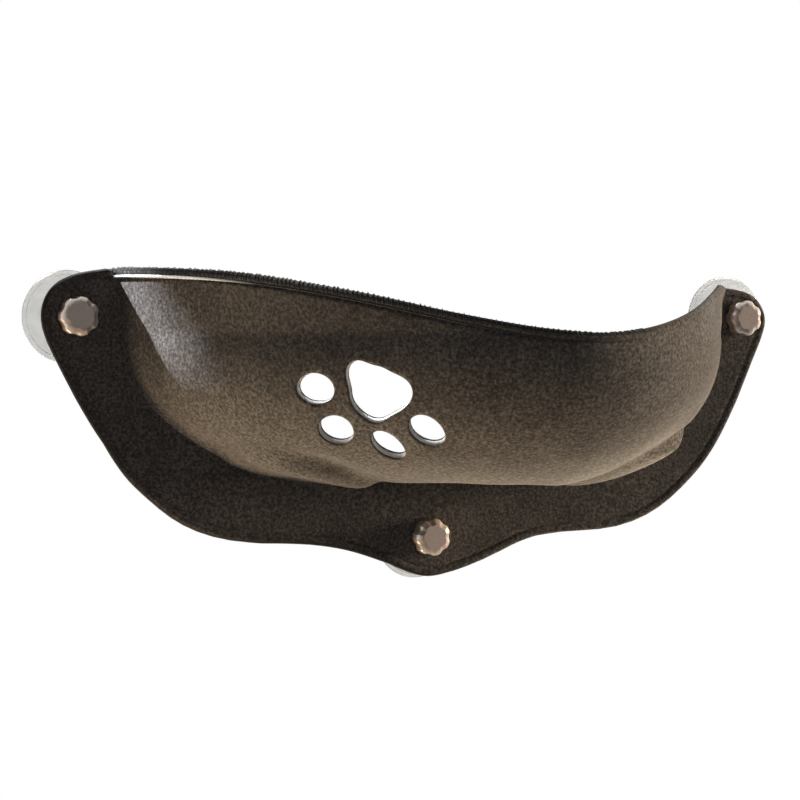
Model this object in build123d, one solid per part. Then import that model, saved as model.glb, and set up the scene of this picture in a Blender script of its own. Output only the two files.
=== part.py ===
from build123d import *
from math import cos, pi, radians, sin, sqrt
import os

# Window mounted cat perch, in millimetres. X runs to the right as seen from the
# room, Y points at the glass, Z is up. The glass is the plane Y = 0 and the
# origin lies midway between the centres of the two upper suction cups.

# Driving sizes of the sheet that lies along the window
FLANGE_WIDTH = 676.0
FLANGE_TIP_DROP = 222.0
FLANGE_TOP_RISE = 39.0
CORNER_INSET = 58.0
STATION_INSET = 28.0
LOWER_STATION_INSET = 34.0

# Layers of the moulded sheet
OUTER_FELT = 1.2
CORE = 3.6
LINING_FELT = 1.2
GLUE_LINE = 0.1

# Bowl that hangs out from the sheet
BOWL_SIDE_MARGIN = 63.0
BOWL_FLARE = 5.2
BOWL_REACH = 314.0
BOWL_BELLY_REACH = 120.0
FLOOR_ABOVE_TIP = 86.5
CREASE_BELOW_FLOOR = 12.0
BELLY_BELOW_FLOOR = 8.0
RIM_LEVEL = -13.5
RIM_RISE = 52.0
RIM_ROOM = 60.0
RIM_BLUNTNESS = 1.05
FLOOR_BLUNTNESS = 2.0
BLUNTNESS_GROWTH = 1.3
SECTION_LEVEL_SHARES = (1.0, 0.965, 0.88, 0.74, 0.52, 0.25, 0.0)
SECTION_ARCS = 6
RIM_ARC_SHARES = (-1.0, -0.75, -0.5, 0.0, 0.5, 0.75, 1.0)

# Two moulded feet under the bowl, with the recess for the lower nut between
FOOT_INNER = 85.0
FOOT_SIDE_INSET = 83.0
FOOT_REACH = 120.0
FOOT_CORNER = 30.0
FOOT_BELOW_FLOOR = 5.0
FOOT_SHOULDER = 32.0
FOOT_SHOULDER_RISE = 10.0
FOOT_SIDE_RISE = 31.0
FOOT_HEIGHT = 67.0
FOOT_EDGE = 7.0

# Paw cut-out in the bowl wall, on a plane square to the wall there
PAW_X = -142.0
PAW_DROP = 50.0
PAW_TURN = 46.8
PAW_TILT = 21.1
PAW_CUT_DEPTH = 60.0
PAD_CORNERS = ((-14.5, 20.0), (17.0, 5.0), (-9.0, -12.0))
PAD_CORNER_RADII = (9.5, 9.5, 8.5)
TOES = ((-52.0, 7.0, 30.0, 22.0, 4.0), (-44.5, -29.5, 28.0, 25.0, -5.0),
        (-7.5, -44.5, 36.0, 23.0, -58.0), (32.0, -28.0, 30.0, 25.5, -60.0))

# Suction cup
CUP_DIAMETER = 76.0
CUP_SEAL_WIDTH = 4.0
CUP_EDGE = 2.4
CUP_HOLLOW = 1.6
CUP_SHOULDER_HEIGHT = 12.5
CUP_HUB_DIAMETER = 21.0
CUP_HEIGHT = 20.0

# Stud moulded into the cup
STUD_DIAMETER = 8.0
STUD_HEAD_ACROSS_FLATS = 13.0
STUD_HEAD = 3.5
STUD_HEAD_DEPTH = 12.5
STUD_LENGTH = 32.0
STUD_CHAMFER = 1.0

# Washers, sheet hole and clearances
WASHER_DIAMETER = 25.0
BACK_WASHER = 2.0
FRONT_WASHER = 1.6
RUNNING_CLEARANCE = 0.05
SHEET_HOLE_CLEARANCE = 0.5

# Knob nut
KNOB_DIAMETER = 32.0
KNOB_HEIGHT = 14.0
KNOB_LOBES = 7
KNOB_SCALLOP_RADIUS = 6.5
KNOB_SCALLOP_DEPTH = 1.9
KNOB_BEVEL = 3.2
KNOB_BEVEL_HEIGHT = 3.6
INSERT_ACROSS_FLATS = 13.0
INSERT_HEIGHT = 6.5
BORE_PAST_STUD = 0.8

# Places that follow from the sizes above
SHEET = OUTER_FELT + CORE + LINING_FELT + 2 * GLUE_LINE
SHEET_BACK = -CUP_HEIGHT - BACK_WASHER
SHEET_FRONT = SHEET_BACK - SHEET
WASHER_FRONT = SHEET_FRONT - FRONT_WASHER
STUD_TIP = -STUD_HEAD_DEPTH - STUD_LENGTH + STUD_HEAD
STATION_X = FLANGE_WIDTH / 2 - STATION_INSET
STATIONS = {
    "left": (-STATION_X, 0),
    "right": (STATION_X, 0),
    "bottom": (0, LOWER_STATION_INSET - FLANGE_TIP_DROP),
}
BOWL_HALF_WIDTH = FLANGE_WIDTH / 2 - BOWL_SIDE_MARGIN
BOWL_FLOOR_DROP = FLANGE_TIP_DROP + RIM_LEVEL - FLOOR_ABOVE_TIP
BOWL_CREASE_DROP = BOWL_FLOOR_DROP + CREASE_BELOW_FLOOR
BOWL_BELLY_DROP = BOWL_FLOOR_DROP + BELLY_BELOW_FLOOR
FOOT_DROP = BOWL_FLOOR_DROP + FOOT_BELOW_FLOOR
FOOT_OUTER = BOWL_HALF_WIDTH - FOOT_SIDE_INSET

# The flange outline from its lower tip up, as shares of half its width, and of
# the tip's drop below the upper stations or of the top edge's rise above them
LOWER_OUTLINE_SHARES = ((0.133, -0.942), (0.266, -0.874), (0.414, -0.845), (0.555, -0.822),
                        (0.666, -0.757), (0.74, -0.673), (0.799, -0.586), (0.895, -0.36),
                        (0.97, -0.135))
UPPER_OUTLINE_SHARES = ((1.0, 0.068), (0.978, 0.569), (0.925, 0.854), (0.877, 0.945))


def arcs_through(points):
    """Chain of arcs, each through three points in turn, the ends shared."""
    return [ThreePointArc(*points[i:i + 3]).edge() for i in range(0, len(points) - 2, 2)]


def flange_outline():
    """Face of the flange in the XZ plane, left and right halves alike."""
    half = FLANGE_WIDTH / 2
    right = [(x * half, z * FLANGE_TIP_DROP) for x, z in LOWER_OUTLINE_SHARES]
    right += [(x * half, z * FLANGE_TOP_RISE) for x, z in UPPER_OUTLINE_SHARES]
    left = [(-x, z) for x, z in right]
    edge = right[::-1] + [(0, -FLANGE_TIP_DROP)] + left
    corner = half - CORNER_INSET
    top = Polyline(left[-1], (-corner, FLANGE_TOP_RISE), (corner, FLANGE_TOP_RISE), right[-1])
    return make_face(arcs_through(edge) + top.edges())


def bowl_half_width(level, inset):
    """Half width of the bowl, level being the height above the rim's low point."""
    if level > 0:
        return BOWL_HALF_WIDTH - inset + BOWL_FLARE * level / RIM_RISE
    drop = BOWL_CREASE_DROP - inset
    return (BOWL_HALF_WIDTH - inset) * sqrt(1 - (level / drop) ** 2)


def bowl_reach(level, inset):
    """How far the bowl stands out from the sheet at a level."""
    if level > 0:
        return BOWL_REACH - inset + BOWL_FLARE * level / RIM_RISE
    drop = BOWL_BELLY_DROP - inset
    swing = BOWL_REACH - BOWL_BELLY_REACH - inset
    return BOWL_BELLY_REACH + swing * sqrt(1 - (level / drop) ** 2)


def wall_depth(across, level, inset):
    """Depth of the bowl wall at a level, across running from -1 to 1. The reach
    falls off as 1 less the square of the place across, to a power that makes low
    slices blunter than the rim."""
    depth_share = max(0, -level / BOWL_FLOOR_DROP)
    growth = FLOOR_BLUNTNESS - RIM_BLUNTNESS
    bluntness = RIM_BLUNTNESS + growth * depth_share ** BLUNTNESS_GROWTH
    out = (1 - min(1, across ** 2)) ** (1 / bluntness)
    return SHEET_FRONT - bowl_reach(level, inset) * out


def bowl_section(level, inset):
    """Horizontal slice of the bowl, its front in arcs and its back on the glass."""
    half = bowl_half_width(level, inset)
    points = []
    for i in range(2 * SECTION_ARCS + 1):
        across = -cos(pi * i / (2 * SECTION_ARCS))
        points.append((half * across, wall_depth(across, level, inset)))
    lines = Polyline(points[-1], (half, 0), (-half, 0), points[0])
    outline = make_face(arcs_through(points) + lines.edges())
    return outline.moved(Location((0, 0, RIM_LEVEL + level)))


def filled_bowl(inset):
    """Solid bowl shrunk by the inset, up to some way above the rim."""
    floor = BOWL_FLOOR_DROP - inset
    sections = [bowl_section(-share * floor, inset) for share in SECTION_LEVEL_SHARES]
    sections.append(bowl_section(RIM_ROOM, inset))
    bowl = loft(sections, ruled=True)
    for side in (-1, 1):
        bowl += filled_foot(side, inset)
    return bowl


def is_sole_edge(edge, reach):
    """True for the edges that run round a foot's sole, front and corner."""
    middle = edge.center()
    below = middle.Z < RIM_LEVEL - FOOT_DROP + (FOOT_SIDE_RISE + FOOT_HEIGHT) / 2
    return below and middle.Y < SHEET_FRONT - reach + FOOT_CORNER


def filled_foot(side, inset):
    """One foot: its front profile run forward, with a rounded plan corner."""
    inner = FOOT_INNER + inset
    outer = FOOT_OUTER - inset
    reach = FOOT_REACH - inset
    bottom = inset - FOOT_DROP
    top = FOOT_HEIGHT - FOOT_DROP
    sole = ThreePointArc((inner, bottom),
                         (FOOT_OUTER - FOOT_SHOULDER, bottom + FOOT_SHOULDER_RISE),
                         (outer, bottom + FOOT_SIDE_RISE))
    rest = Polyline(sole @ 1, (outer, top), (inner, top), sole @ 0)
    front = make_face(sole.edges() + rest.edges())
    front = Plane((0, SHEET_FRONT - reach, RIM_LEVEL), x_dir=(1, 0, 0), z_dir=(0, -1, 0)) * front
    length = reach + SHEET
    block = extrude(front, -length)
    upright = block.edges().filter_by(Axis.Z).group_by(Axis.X)[-1].sort_by(Axis.Y)[0]
    block = fillet(upright, FOOT_CORNER - inset)
    front_edges = block.edges().filter_by(lambda edge: is_sole_edge(edge, reach))
    block = chamfer(front_edges, FOOT_EDGE - inset * (2 - sqrt(2)))
    if side < 0:
        block = mirror(block, Plane.YZ)
    return block


def rim_cutter():
    """Everything above the rim, which rises as a raised cosine to both ends."""
    crest = RIM_LEVEL + RIM_RISE
    span = BOWL_HALF_WIDTH + BOWL_FLARE
    points = []
    for share in RIM_ARC_SHARES:
        points.append((span * share, RIM_LEVEL + RIM_RISE / 2 * (1 - cos(pi * share))))
    top = crest + RIM_ROOM
    out = FLANGE_WIDTH
    lines = Polyline(points[-1], (out, crest), (out, top), (-out, top), (-out, crest), points[0])
    face = Plane.XZ * make_face(arcs_through(points) + lines.edges())
    return extrude(face, BOWL_REACH + FLANGE_WIDTH, both=True)


def paw_cutter():
    """Pad and four toes, run along the wall's own direction."""
    turn = radians(PAW_TURN)
    tilt = radians(PAW_TILT)
    outward = (-sin(turn) * cos(tilt), -cos(turn) * cos(tilt), -sin(tilt))
    across = (cos(turn), -sin(turn), 0)
    depth = wall_depth(PAW_X / bowl_half_width(-PAW_DROP, 0), -PAW_DROP, 0)
    plane = Plane((PAW_X, depth, RIM_LEVEL - PAW_DROP), x_dir=across, z_dir=outward)
    circles = [Pos(x, z) * Circle(r) for (x, z), r in zip(PAD_CORNERS, PAD_CORNER_RADII)]
    rounds = [circle.edge() for circle in circles]
    shapes = [make_hull(rounds).face()]
    for x, z, length, width, turned in TOES:
        shapes.append(Location((x, z, 0), turned) * Ellipse(length / 2, width / 2))
    cutters = [extrude(plane * shape, PAW_CUT_DEPTH / 2, both=True) for shape in shapes]
    return cutters


def sheet_layer(front, back, outer, inner):
    """One layer of the sheet: flange between two depths, and the bowl wall."""
    flange = extrude(Plane.XZ * flange_outline(), -front)
    flange -= extrude(Plane.XZ * flange_outline(), -back)
    room = Box(2 * FLANGE_WIDTH, 2 * FLANGE_WIDTH, 2 * FLANGE_WIDTH)
    room = Pos(0, back - FLANGE_WIDTH, 0) * room
    layer = flange + (filled_bowl(outer) & room)
    layer -= filled_bowl(inner)
    layer -= rim_cutter()
    for x, z in STATIONS.values():
        hole = Cylinder(STUD_DIAMETER / 2 + SHEET_HOLE_CLEARANCE, FLANGE_WIDTH)
        layer -= Pos(x, 0, z) * Rot(90, 0, 0) * hole
    for cutter in paw_cutter():
        layer -= cutter
    return layer


def suction_cup():
    """Half profile of the cup turned about its axis, hollow towards the glass."""
    radius = CUP_DIAMETER / 2
    hub = CUP_HUB_DIAMETER / 2
    seal = radius - CUP_SEAL_WIDTH
    profile = Polyline((0, CUP_HOLLOW), (seal, CUP_HOLLOW), (seal, 0), (radius, 0),
                       (radius, CUP_EDGE), (hub, CUP_SHOULDER_HEIGHT), (hub, CUP_HEIGHT),
                       (0, CUP_HEIGHT), close=True)
    cup = revolve(Plane.XZ * make_face(profile.edges()), Axis.Z)
    return Rot(90, 0, 0) * cup


def stud():
    """Stud with a six-sided head that is moulded into the cup."""
    head_base = STUD_HEAD_DEPTH - STUD_HEAD
    head = extrude(RegularPolygon(STUD_HEAD_ACROSS_FLATS / sqrt(3), 6), STUD_HEAD)
    shank = Cylinder(STUD_DIAMETER / 2, STUD_LENGTH,
                     align=(Align.CENTER, Align.CENTER, Align.MIN))
    tip = shank.faces().sort_by(Axis.Z)[-1].edges()
    shank = chamfer(tip, STUD_CHAMFER)
    return Rot(90, 0, 0) * Pos(0, 0, head_base) * (head + shank)


def washer(thickness, front):
    """Flat ring on the stud, its front face at the given depth."""
    ring = Cylinder(WASHER_DIAMETER / 2, thickness)
    ring -= Cylinder(STUD_DIAMETER / 2 + RUNNING_CLEARANCE, thickness)
    return Pos(0, front + thickness / 2, 0) * Rot(90, 0, 0) * ring


def knob():
    """Lobed nut: a disc with scallops, bevelled towards its closed face."""
    radius = KNOB_DIAMETER / 2
    outline = Sketch() + Circle(radius)
    away = radius + KNOB_SCALLOP_RADIUS - KNOB_SCALLOP_DEPTH
    outline -= PolarLocations(away, KNOB_LOBES) * Circle(KNOB_SCALLOP_RADIUS)
    body = extrude(outline, KNOB_HEIGHT)
    slope = Polyline((0, 0), (radius, 0), (radius, KNOB_HEIGHT - KNOB_BEVEL_HEIGHT),
                     (radius - KNOB_BEVEL, KNOB_HEIGHT), (0, KNOB_HEIGHT), close=True)
    body &= revolve(Plane.XZ * make_face(slope.edges()), Axis.Z)
    body -= insert_blank()
    depth = WASHER_FRONT - STUD_TIP + BORE_PAST_STUD
    bore = Cylinder(STUD_DIAMETER / 2 + RUNNING_CLEARANCE, depth,
                    align=(Align.CENTER, Align.CENTER, Align.MIN))
    body -= bore
    return Pos(0, WASHER_FRONT, 0) * Rot(90, 0, 0) * body


def insert_blank():
    """Six-sided blank of the threaded insert, flush with the knob's foot."""
    corner = INSERT_ACROSS_FLATS / sqrt(3)
    return extrude(RegularPolygon(corner, 6), INSERT_HEIGHT)


def insert():
    """Threaded insert, its thread left plain."""
    nut = insert_blank()
    nut -= Cylinder(STUD_DIAMETER / 2 + RUNNING_CLEARANCE, 2 * INSERT_HEIGHT)
    return Pos(0, WASHER_FRONT, 0) * Rot(90, 0, 0) * nut


def station_pieces():
    """The pieces of one fastening, on an axis through the origin."""
    return {
        "cup": suction_cup() - stud(),
        "stud": stud(),
        "back_washer": washer(BACK_WASHER, SHEET_BACK),
        "front_washer": washer(FRONT_WASHER, WASHER_FRONT),
        "knob": knob(),
        "knob_insert": insert(),
    }


def build():
    """Every piece of the perch by name."""
    outer_back = SHEET_FRONT + OUTER_FELT
    core_front = outer_back + GLUE_LINE
    core_back = core_front + CORE
    lining_front = core_back + GLUE_LINE
    pieces = {
        "outer_felt": sheet_layer(SHEET_FRONT, outer_back, 0, OUTER_FELT),
        "pod_core": sheet_layer(core_front, core_back, OUTER_FELT + GLUE_LINE,
                                SHEET - LINING_FELT - GLUE_LINE),
        "lining_felt": sheet_layer(lining_front, SHEET_BACK, SHEET - LINING_FELT, SHEET),
    }
    for place, (x, z) in STATIONS.items():
        for kind, piece in station_pieces().items():
            pieces[kind + "_" + place] = Pos(x, 0, z) * piece
    return pieces


os.makedirs("parts", exist_ok=True)
for name, piece in build().items():
    export_step(piece, "parts/" + name + ".step")
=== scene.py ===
import math

import bpy
import numpy as np
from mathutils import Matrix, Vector


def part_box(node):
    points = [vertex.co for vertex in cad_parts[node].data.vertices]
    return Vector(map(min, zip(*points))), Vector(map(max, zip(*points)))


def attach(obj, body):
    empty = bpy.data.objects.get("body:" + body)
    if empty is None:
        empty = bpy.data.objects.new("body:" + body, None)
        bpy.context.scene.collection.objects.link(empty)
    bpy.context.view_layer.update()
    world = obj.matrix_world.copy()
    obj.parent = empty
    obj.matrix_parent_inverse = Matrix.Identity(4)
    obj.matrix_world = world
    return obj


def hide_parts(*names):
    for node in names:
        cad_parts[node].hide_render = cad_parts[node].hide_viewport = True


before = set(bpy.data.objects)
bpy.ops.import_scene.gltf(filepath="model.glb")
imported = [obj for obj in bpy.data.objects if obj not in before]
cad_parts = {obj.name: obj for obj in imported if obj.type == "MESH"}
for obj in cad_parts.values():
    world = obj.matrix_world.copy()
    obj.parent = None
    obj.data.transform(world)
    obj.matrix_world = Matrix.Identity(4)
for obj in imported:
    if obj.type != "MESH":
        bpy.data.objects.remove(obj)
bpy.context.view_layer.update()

# Window perch: a moulded felt pod that hangs on three suction cups. Lengths are
# in metres, X to the right, Y towards the glass, Z up, as in the frame.

rng = np.random.default_rng(20)

# Photograph's view: its width and focal length in pixels, the sensor in millimetres
PHOTO = 800
LENS_PIXELS = 2367.0
SENSOR = 36.0
CAMERA_PLACE = (-0.8257, -1.8827, -0.0135)
CAMERA_TURN = math.radians(23.32)
CAMERA_TILT = math.radians(-1.62)

# Sheet: outer felt, foam and lining felt, glued, from the room side to the glass.
# The outer felt wraps the free edge. A ripple has a wavelength and a height.
SHEET = 0.0062
FELT = 0.0012
GLUE = 0.0001
SHEET_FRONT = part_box("outer_felt")[1].y - FELT
EDGE_WRAP = 0.0014
RIPPLES = ((0.26, 0.0006), (0.19, 0.0005), (0.13, 0.0004), (0.09, 0.00025), (0.055, 0.00015))

# Flange: the outline's points are shares of its half width and of its drop or
# rise. Its rows of points lie on rays from a place on the middle line.
HALF_WIDTH = 0.338
TIP_DROP = 0.222
TOP_RISE = 0.039
CORNER_X = 0.280
LOWER_OUTLINE_SHARES = ((0.133, -0.942), (0.266, -0.874), (0.414, -0.845), (0.555, -0.822),
                        (0.666, -0.757), (0.74, -0.673), (0.799, -0.586), (0.895, -0.36),
                        (0.97, -0.135))
UPPER_OUTLINE_SHARES = ((1.0, 0.068), (0.978, 0.569), (0.925, 0.854), (0.877, 0.945))
RAY_CENTRE_Z = -0.010

# Bowl: levels and drops count from the rim's low point
BOWL_HALF = 0.275
BOWL_FLARE = 0.0052
BOWL_REACH = 0.314
BELLY_REACH = 0.120
FLOOR_DROP = 0.122
CREASE_DROP = 0.134
BELLY_DROP = 0.130
RIM_LEVEL = -0.0135
RIM_RISE = 0.052
RIM_BLUNTNESS = 1.05
FLOOR_BLUNTNESS = 2.0
BLUNTNESS_GROWTH = 1.3
TURN_LENGTH = 0.134
CREASE_RADIUS = 0.003

# Feet under the bowl; a pair holds the left foot's size and the right foot's
FOOT_INNER = 0.085
FOOT_OUTER = (0.188, 0.206)
FOOT_REACH = 0.120
FOOT_SLANT = 0.9
FOOT_SLANT_FROM = 0.102
FOOT_DROP = 0.127
FOOT_PLAN_CORNER = (0.055, 0.030)
FOOT_EDGE = (0.010, 0.019)
FOOT_BLEND = 0.006
FOOT_LIMIT = 0.045
SOLE_SLOPE = -0.2332
SOLE_BEND = (4.887, 4.3)

# How the soft pod of the photograph bends away from its drawn form. A row has a
# place and the bend there: how far down for the pull, X for the lifts.
SETTLE_REACH = 0.11
RIGHT_SIDE = 0.18
RIGHT_PULL = ((-0.025, 0.004), (-0.01, 0.003), (0.005, 0.002), (0.02, 0.0025), (0.036, 0.0055),
              (0.055, 0.0083), (0.074, 0.0103), (0.084, 0.0107), (0.094, 0.009), (0.11, 0.006),
              (0.14, 0.006))
LIFT_FROM = 0.085
LIFT_BLEND = 0.030
FLOOR_LIFT = ((-0.1, 0), (-0.08, 0.002), (-0.05, 0.0032), (0, 0.0034), (0.03, 0.001), (0.1, 0.0008),
              (0.13, 0.002), (0.17, 0.001))
FOOT_LIFT = ((-0.21, 0), (-0.19, -0.001), (-0.18, 0), (-0.163, 0.0035), (-0.152, 0.0055),
             (-0.14, 0.0072), (-0.125, 0.0078), (-0.115, 0.006), (-0.1, 0.0035), (-0.09, 0.002),
             (-0.08, 0))
RIDGE_LIFT = ((0.08, 0), (0.1, 0.003), (0.13, 0.007), (0.16, 0.009), (0.2, 0.009), (0.23, 0.003),
              (0.25, 0))
BEYOND_FROM = 0.115
BEYOND_BLEND = 0.045

# Right upper corner: where the rim stops rising, and how far and over what
# lengths the flange there is pushed to the right
RIM_TURN_X = 0.197
RIM_TURN_BLEND = 0.014
CORNER_REACH = 0.147
CORNER_PUSH = 0.0092
CORNER_SIDE_RUN = 0.05
CORNER_END_GAP = 0.002
CORNER_END_RUN = 0.04
CORNER_FROM = 0.004
CORNER_RUN = 0.018

# Change of the flange's reach at angles in degrees: 0 is straight down, and they
# grow towards the right
OUTLINE_TRIM = ((-95, 0.0002), (-88, 0.001), (-80, 0.0003), (-72, -0.002), (-65, 0), (-55, 0.001),
                (-40, 0.003), (-30, 0.0006), (-20, -0.0012), (-10, -0.0026), (-4, -0.0008),
                (0, 0.0006), (5, 0.0012), (10, 0.003), (15, 0.0042), (20, 0.0036), (25, 0.0016),
                (30, 0), (36, 0.0005), (45, 0.003), (60, 0.0032), (78, 0.003), (85, 0.0012),
                (92, 0))

# Hem along every free edge, with the lip at the very edge. Its darker colour and,
# on the bowl, its pressed line fade out to the right of the middle. The low row
# of points, where the stitches start, lies just above the pressed line.
HEM = 0.0076
HEM_GROOVE = 0.0011
HEM_GROOVE_WIDTH = 0.0010
HEM_LIFT = 0.0007
HEM_END = (0.0, 0.07)
HEM_SHADE = 0.3
HEM_LOW_ROW = 8
BOWL_FROM = 0.01
LIP = 0.0020
LIP_SHADE = 2.6

# Stitches of the rim. A loop's path has places along the edge, down the hem and
# outwards, in millimetres. Rows of taper and flatness have X and a share.
STITCH_SPACING = 0.0043
CHAIN_START = 0.004
CHAIN_END = 0.0
CHAIN_STEP = 0.0007
CHAIN_RADIUS = 0.0009
CHAIN_NECK = 0.8
CHAIN_SWELL = 0.3
CHAIN_TAPER = ((-0.245, 1.5), (-0.225, 1.2), (-0.2, 0.6), (-0.06, 0.6), (0, 0.2))
CHAIN_PROUD = 0.0003
CHAIN_AROUND = 8
# Places along X over which the looper thread's painted highlight fades to dark
CHAIN_HIGHLIGHT_END = (-0.243, -0.208)
LOOP_START = 0.003
LOOP_END = 0.045
LOOP_FLAT = ((-0.13, 1), (-0.05, 0.25))
LOOP_PATH = ((-1.0, 6.2, 0.2), (-0.6, 4.6, 0.8), (-0.2, 2.4, 0.7), (0.1, 0.2, -0.8),
             (0.4, -0.6, -3.1), (0.7, 0.2, -5.4), (0.9, 2.4, -6.7), (1.1, 4.6, -6.7))
LOOP_TOP = 4
LOOP_LOOSE = 0.0004
LOOP_JITTER = 0.2
LOOP_SIZES = (0.85, 1.15)
LOOP_THREAD = 0.00042
LOOP_AROUND = 5

# Paw cut-out. A wave of the pad has its cosine and sine heights; a toe has its
# middle, length, width and turn in degrees.
PAW_X = -0.142
PAW_DROP = 0.050
PAW_TURN = math.radians(46.8)
PAW_TILT = math.radians(21.1)
PAW_DEPTH = 0.06
PAW_SIDE = 0.062
PAW_LOW_RUN = 0.122
PAD_MIDDLE = (-0.0015, 0.005)
PAD_MEAN_RADIUS = 0.02464
PAD_WAVES = ((-0.00016, 0.00007), (0.00129, -0.00067), (0.00318, 0.00125), (-0.00028, 0.00002),
             (0.00045, -0.00037), (0.00015, 0.00064))
TOES = ((-0.0526, 0.0068, 0.0340, 0.0247, 7), (-0.0439, -0.0298, 0.0346, 0.0266, 40.6),
        (-0.0053, -0.0443, 0.0321, 0.0245, -81.6), (0.0313, -0.0290, 0.0315, 0.0265, -80.5))

# Knob and insert. A row of a profile has a radius and a place along Y in
# millimetres and, on a lobed or six-sided shape, its share of the cut.
KNOB_RADIUS = 0.016
KNOB_LOBES = 7
SCALLOP_RADIUS = 0.0065
SCALLOP_DEPTH = 0.0014
LOBE_BLEND = 0.0016
# Ring of the knob's bevelled face on which a highlight is painted
BEVEL_HIGHLIGHT_FROM = 0.0126
BEVEL_HIGHLIGHT_BLEND = 0.001
BEVEL_HIGHLIGHT_BACK = -0.0389
ACROSS_FLATS = 0.013
KNOB_ROWS = ((2, -43.8, 0), (6, -43.8, 0), (8.6, -43.8, 0.1), (10.2, -43.8, 0.45), (10.8, -43.76, 0.6),
             (11.2, -43.6, 0.7), (11.6, -43.3, 0.8), (13.2, -42.1, 0.95), (14.6, -41.0, 1),
             (15.35, -40.3, 1), (15.78, -39.7, 1), (15.95, -39.0, 1), (16, -38.3, 1),
             (16, -34.5, 1), (16, -30.8, 1), (15.9, -30.25, 1), (15.6, -29.92, 1), (15.2, -29.8, 1),
             (12, -29.8, 0.4), (7.56, -29.8, 0), (7.56, -36.35, 0), (4.06, -36.35, 0),
             (4.06, -41.8, 0), (1.5, -41.8, 0))
INSERT_ROWS = ((7.3, -36.3, 1), (7.5, -36.0, 1), (7.5, -30.4, 1), (7.45, -30.1, 1), (7.2, -29.95, 1),
               (4.05, -29.95, 0), (4.05, -36.3, 0))

# Stud and washers, in millimetres. A washer's row has a radius and its share of
# the soft edge; a washer lies between two places along Y.
STUD_TIP = -41.0
STUD_FOOT = -12.0
STUD_STEP = 0.2
THREAD_PITCH = 2.0
THREAD_RADIUS = 3.98
THREAD_DEPTH = 0.62
THREAD_STEEPNESS = 1.3
THREAD_CREST = 0.15
TIP_RADIUS = 3.0
HEAD_ROWS = ((6.2, -12.5, 0.4), (7.2, -12.45, 0.9), (7.5, -12.2, 1), (7.5, -9.3, 1),
             (7.2, -9.05, 0.9), (6.2, -9.0, 0.4))
WASHER_ROWS = ((4.1, 1), (4.4, 0), (12.1, 0), (12.4, 0.4), (12.5, 1))
WASHER_SOFT = 0.35
REAR_WASHER = (-22, -20)
FACE_WASHER = (-29.8, -28.2)

# Suction cup, in millimetres: the hub, the skirt from its start to its end with
# three rings of steps, the sealing ring, and the hollow
HUB_ROWS = ((3, -20), (9.4, -20), (10.1, -19.85), (10.4, -19.5), (10.5, -19), (10.5, -13.6),
            (10.7, -12.9), (11.1, -12.45))
SKIRT_START = (11.6, -12.2)
SKIRT_END = (37.2, -2.75)
SKIRT_POWER = 0.96
STEP_RINGS = (16.5, 24.0, 31.5)
STEP_HEIGHT = 0.35
STEP_WIDTH = 0.45
SEAL_ROWS = ((37.75, -2.35), (37.97, -1.9), (38, -1.3), (37.95, -0.4), (37.6, 0), (34.4, 0),
             (34.1, -0.2), (34.0, -0.8))
HOLLOW_RADIUS = 33.6
HOLLOW_LEAST_RADIUS = 0.3
HOLLOW_RIM = -1.5
HOLLOW_DEPTH = 2.2

# Points round each turned shape, and the angle past which its edges are sharp
KNOB_AROUND = 168
NUT_AROUND = 72
WASHER_AROUND = 96
STUD_AROUND = 40
CUP_AROUND = 144
SHARP_ANGLE = math.radians(50)

# Mesh of the pod: spacing of its points, fine round the paw and wider elsewhere,
# and how many rows, samples or steps its parts take. The least and tiny values
# keep a sum from being divided by nothing, and a block is one share of the work.
FINE = 0.0022
WIDE = 0.0045
HEM_SHARES = (0, 0.016, 0.06, 0.13, 0.24, 0.37, 0.51, 0.68, 0.84, 0.93, 1, 1.07, 1.16, 1.34, 1.6)
FLOOR_ROWS = 26
STRIP_ROWS = 14
LEAST_STRIP = 0.0006
SAMPLES = 4000
OUTLINE_SAMPLES = 1600
SKIRT_SAMPLES = 40
HOLLOW_SAMPLES = 24
RIM_STEPS = 40
HALVINGS = 22
PAW_MOVES = 3
PAW_STEP = FINE / 50
BLOCK = 2000
LEAST_SLOPE = 0.05
TINY = 1e-12

# Share of its direction past which a tube's path counts as upright
UPRIGHT = 0.9

# Studio. A sun has the direction it stands in, its power, its spread in degrees
# and its colour. A spot has a target, its direction from there, its power, its
# cone in degrees, its colour and the pieces that it lights.
WORLD_LIGHT = 0.105
FLOOR_LEVEL = -0.75
FLOOR_SIZE = 3.0
FLOOR_GLOW = 0.75
LAMP_DISTANCE = 1.5
SPOT_BLEND = 0.6
SPOT_RADIUS = 0.03
HIGH_BACK = (-0.15, 0.62, 0.77)
SUNS = (("low_right_sun", (0.5, 0.71, -0.45), 2.45, 14, (1, 0.86, 0.63)),
        ("low_left_sun", (-0.51, 0.67, -0.54), 2.35, 26, (1, 0.84, 0.60)),
        ("under_left_sun", (-0.45, 0.25, -0.86), 1.9, 18, (1, 0.76, 0.47)),
        ("right_sun", (0.97, -0.13, 0.1), 4.0, 20, (1, 0.84, 0.63)),
        ("front_low_sun", (0.1, -0.8, -0.58), 0.09, 20, (1, 0.85, 0.75)),
        ("high_back_sun", HIGH_BACK, 1.0, 10, (1, 1, 1)))
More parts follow.
